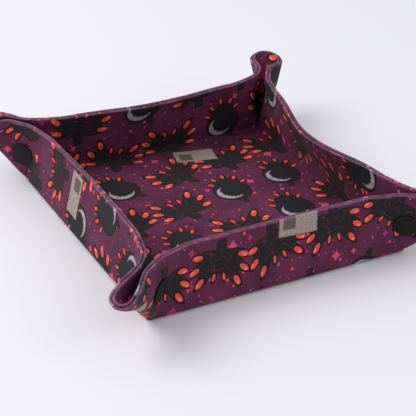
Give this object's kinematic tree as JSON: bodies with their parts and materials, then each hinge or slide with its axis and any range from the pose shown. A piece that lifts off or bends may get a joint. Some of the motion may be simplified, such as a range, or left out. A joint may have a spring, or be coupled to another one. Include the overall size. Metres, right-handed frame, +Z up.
{
  "type": "folding dice tray",
  "caption": "Square fabric rolling tray whose walls fold up from the floor and are held by a snap in each pinched corner.",
  "frame": {"origin": "middle of the floor's underside, at the surface that the tray stands on", "axes": "+Z up out of the tray; +X and +Y square to the walls, with the front wall at -Y; the tray is the same after each quarter turn about Z except for which half of a snap a flap carries"},
  "size_m": [0.1866, 0.1866, 0.0351],
  "materials": {
    "lining": "printed woven cotton, matte",
    "core": "stiff non-woven stiffener, matte",
    "cover": "printed woven cotton, matte",
    "snap": "matte black moulded plastic"
  },
  "bodies": {
    "floor": {"floor_lining": "lining", "floor_core": "core", "floor_cover": "cover"},
    "front_wall": {"front_wall_lining": "lining", "front_wall_core": "core", "front_wall_cover": "cover"},
    "right_wall": {"right_wall_lining": "lining", "right_wall_core": "core", "right_wall_cover": "cover"},
    "back_wall": {"back_wall_lining": "lining", "back_wall_core": "core", "back_wall_cover": "cover"},
    "left_wall": {"left_wall_lining": "lining", "left_wall_core": "core", "left_wall_cover": "cover"},
    "front_left_flap": {"front_left_flap_lining": "lining", "front_left_flap_core": "core", "front_left_flap_cover": "cover", "front_left_snap_cap": "snap", "front_left_snap_socket": "snap"},
    "front_right_flap": {"front_right_flap_lining": "lining", "front_right_flap_core": "core", "front_right_flap_cover": "cover", "front_right_snap_cap": "snap", "front_right_snap_stud": "snap"},
    "right_front_flap": {"right_front_flap_lining": "lining", "right_front_flap_core": "core", "right_front_flap_cover": "cover", "right_front_snap_cap": "snap", "right_front_snap_socket": "snap"},
    "right_back_flap": {"right_back_flap_lining": "lining", "right_back_flap_core": "core", "right_back_flap_cover": "cover", "right_back_snap_cap": "snap", "right_back_snap_stud": "snap"},
    "back_right_flap": {"back_right_flap_lining": "lining", "back_right_flap_core": "core", "back_right_flap_cover": "cover", "back_right_snap_cap": "snap", "back_right_snap_socket": "snap"},
    "back_left_flap": {"back_left_flap_lining": "lining", "back_left_flap_core": "core", "back_left_flap_cover": "cover", "back_left_snap_cap": "snap", "back_left_snap_stud": "snap"},
    "left_back_flap": {"left_back_flap_lining": "lining", "left_back_flap_core": "core", "left_back_flap_cover": "cover", "left_back_snap_cap": "snap", "left_back_snap_socket": "snap"},
    "left_front_flap": {"left_front_flap_lining": "lining", "left_front_flap_core": "core", "left_front_flap_cover": "cover", "left_front_snap_cap": "snap", "left_front_snap_stud": "snap"}
  },
  "joints": [
    {"name": "front_wall_fold", "type": "hinge", "parent": "floor", "child": "front_wall", "pos_m": [0, -0.07, 0.003], "axis": [1, 0, 0], "range_deg": [0, 95]},
    {"name": "right_wall_fold", "type": "hinge", "parent": "floor", "child": "right_wall", "pos_m": [0.07, 0, 0.003], "axis": [0, 1, 0], "range_deg": [0, 95]},
    {"name": "back_wall_fold", "type": "hinge", "parent": "floor", "child": "back_wall", "pos_m": [0, 0.07, 0.003], "axis": [-1, 0, 0], "range_deg": [0, 95]},
    {"name": "left_wall_fold", "type": "hinge", "parent": "floor", "child": "left_wall", "pos_m": [-0.07, 0, 0.003], "axis": [0, -1, 0], "range_deg": [0, 95]},
    {"name": "front_left_flap_fold", "type": "hinge", "parent": "front_wall", "child": "front_left_flap", "pos_m": [-0.07, -0.07, 0.003], "axis": [-0.3746, -0.113, -0.9203], "range_deg": [0, 39.52]},
    {"name": "front_right_flap_fold", "type": "hinge", "parent": "front_wall", "child": "front_right_flap", "pos_m": [0.07, -0.07, 0.003], "axis": [-0.3746, 0.113, 0.9203], "range_deg": [0, 39.52]},
    {"name": "right_front_flap_fold", "type": "hinge", "parent": "right_wall", "child": "right_front_flap", "pos_m": [0.07, -0.07, 0.003], "axis": [0.113, -0.3746, -0.9203], "range_deg": [0, 39.52]},
    {"name": "right_back_flap_fold", "type": "hinge", "parent": "right_wall", "child": "right_back_flap", "pos_m": [0.07, 0.07, 0.003], "axis": [-0.113, -0.3746, 0.9203], "range_deg": [0, 39.52]},
    {"name": "back_right_flap_fold", "type": "hinge", "parent": "back_wall", "child": "back_right_flap", "pos_m": [0.07, 0.07, 0.003], "axis": [0.3746, 0.113, -0.9203], "range_deg": [0, 39.52]},
    {"name": "back_left_flap_fold", "type": "hinge", "parent": "back_wall", "child": "back_left_flap", "pos_m": [-0.07, 0.07, 0.003], "axis": [0.3746, -0.113, 0.9203], "range_deg": [0, 39.52]},
    {"name": "left_back_flap_fold", "type": "hinge", "parent": "left_wall", "child": "left_back_flap", "pos_m": [-0.07, 0.07, 0.003], "axis": [-0.113, 0.3746, -0.9203], "range_deg": [0, 39.52]},
    {"name": "left_front_flap_fold", "type": "hinge", "parent": "left_wall", "child": "left_front_flap", "pos_m": [-0.07, -0.07, 0.003], "axis": [0.113, 0.3746, 0.9203], "range_deg": [0, 39.52]}
  ],
  "couplings": [
    {"joint": "right_wall_fold", "follows": "front_wall_fold", "ratio": 1},
    {"joint": "back_wall_fold", "follows": "front_wall_fold", "ratio": 1},
    {"joint": "left_wall_fold", "follows": "front_wall_fold", "ratio": 1},
    {"joint": "front_left_flap_fold", "follows": "front_wall_fold", "ratio": 0.41075},
    {"joint": "front_right_flap_fold", "follows": "front_wall_fold", "ratio": 0.41075},
    {"joint": "right_front_flap_fold", "follows": "front_wall_fold", "ratio": 0.41075},
    {"joint": "right_back_flap_fold", "follows": "front_wall_fold", "ratio": 0.41075},
    {"joint": "back_right_flap_fold", "follows": "front_wall_fold", "ratio": 0.41075},
    {"joint": "back_left_flap_fold", "follows": "front_wall_fold", "ratio": 0.41075},
    {"joint": "left_back_flap_fold", "follows": "front_wall_fold", "ratio": 0.41075},
    {"joint": "left_front_flap_fold", "follows": "front_wall_fold", "ratio": 0.41075}
  ]
}
